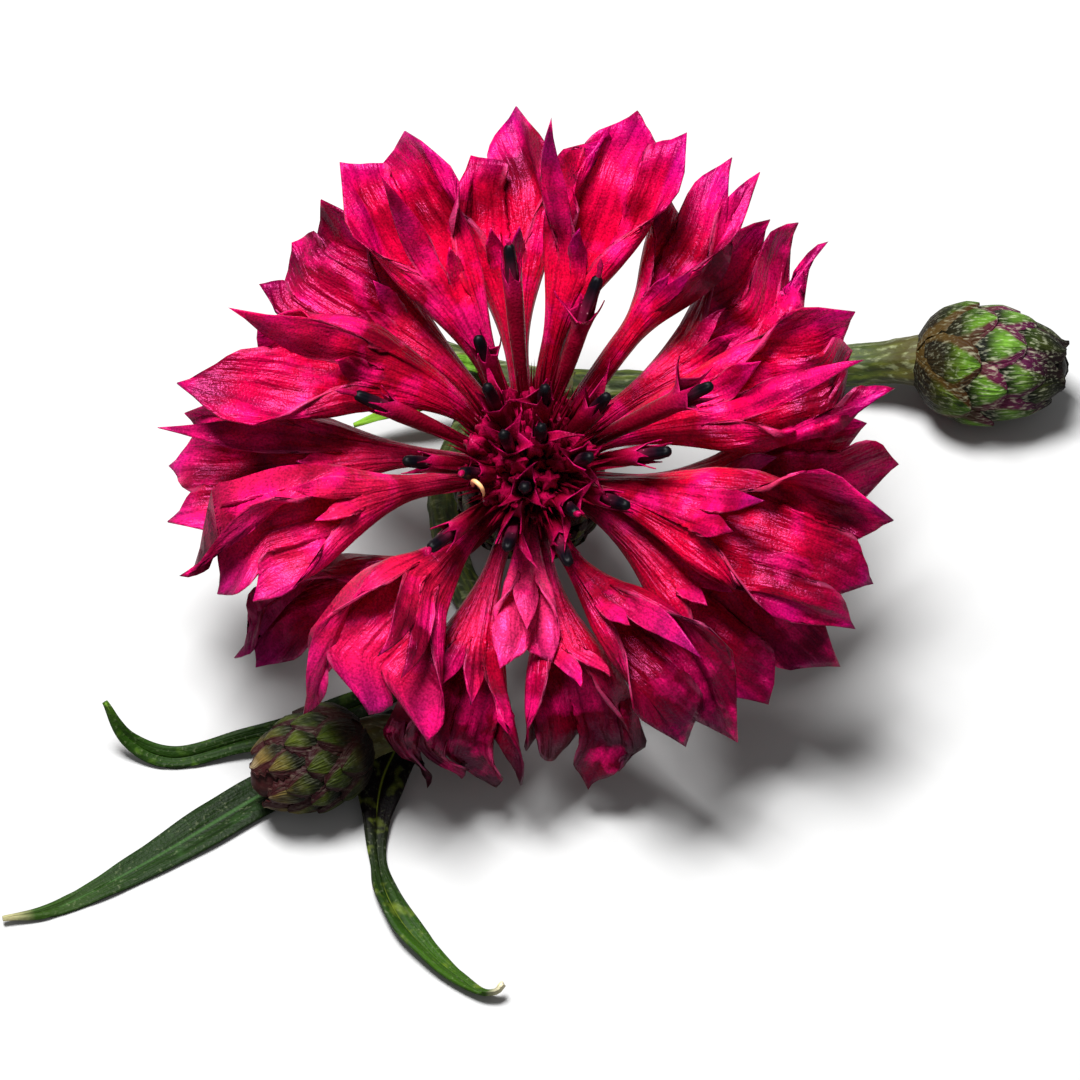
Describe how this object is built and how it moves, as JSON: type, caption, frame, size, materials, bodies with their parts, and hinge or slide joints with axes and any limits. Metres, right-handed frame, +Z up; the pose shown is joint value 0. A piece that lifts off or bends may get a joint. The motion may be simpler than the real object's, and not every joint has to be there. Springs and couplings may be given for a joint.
{
  "type": "cornflower sprig",
  "caption": "Picked cornflower sprig lying down: an open crimson double head facing up, closed buds, leaves and a cut stem.",
  "frame": {"origin": "middle of the bottom of the bounding box, on the surface the sprig lies on", "axes": "+Z up from the surface, +X along the stalk of the larger bud, the face of the open head leans towards -Y"},
  "size_m": [0.0656, 0.0518, 0.0329],
  "materials": {
    "ray_petal": "soft satin, deep crimson to magenta, darker at the tips",
    "disc_floret": "dark crimson tubes with blue-black anthers",
    "receptacle": "pale green, matt",
    "bract": "green scales with a dark fringed edge",
    "stem": "ribbed green with grey wool",
    "leaf": "dark green with a paler midrib"
  },
  "bodies": {
    "root": {"receptacle": "receptacle", "involucre": "bract", "right_bud": "bract", "left_bud": "bract", "main_stem": "stem", "right_branch": "stem", "left_branch": "stem", "peduncle": "stem", "leaf_long": "leaf", "leaf_curled": "leaf", "leaf_twisted": "leaf", "leaf_back_left": "leaf", "leaf_back_top": "leaf", "leaf_back_right": "leaf", "ray_floret_01": "ray_petal", "ray_floret_02": "ray_petal", "ray_floret_03": "ray_petal", "ray_floret_04": "ray_petal", "ray_floret_05": "ray_petal", "ray_floret_06": "ray_petal", "ray_floret_07": "ray_petal", "ray_floret_08": "ray_petal", "ray_floret_09": "ray_petal", "ray_floret_10": "ray_petal", "ray_floret_11": "ray_petal", "ray_floret_12": "ray_petal", "ray_floret_13": "ray_petal", "ray_floret_14": "ray_petal", "ray_floret_15": "ray_petal", "ray_floret_16": "ray_petal", "ray_floret_17": "ray_petal", "ray_floret_18": "ray_petal", "ray_floret_19": "ray_petal", "disc_floret_01": "disc_floret", "disc_floret_02": "disc_floret", "disc_floret_03": "disc_floret", "disc_floret_04": "disc_floret", "disc_floret_05": "disc_floret", "disc_floret_06": "disc_floret", "disc_floret_07": "disc_floret", "disc_floret_08": "disc_floret", "disc_floret_09": "disc_floret", "disc_floret_10": "disc_floret", "disc_floret_11": "disc_floret", "disc_floret_12": "disc_floret", "disc_floret_13": "disc_floret", "disc_floret_14": "disc_floret", "disc_floret_15": "disc_floret", "disc_floret_16": "disc_floret", "disc_floret_17": "disc_floret", "disc_floret_18": "disc_floret", "disc_floret_19": "disc_floret", "disc_floret_20": "disc_floret"}
  },
  "joints": []
}
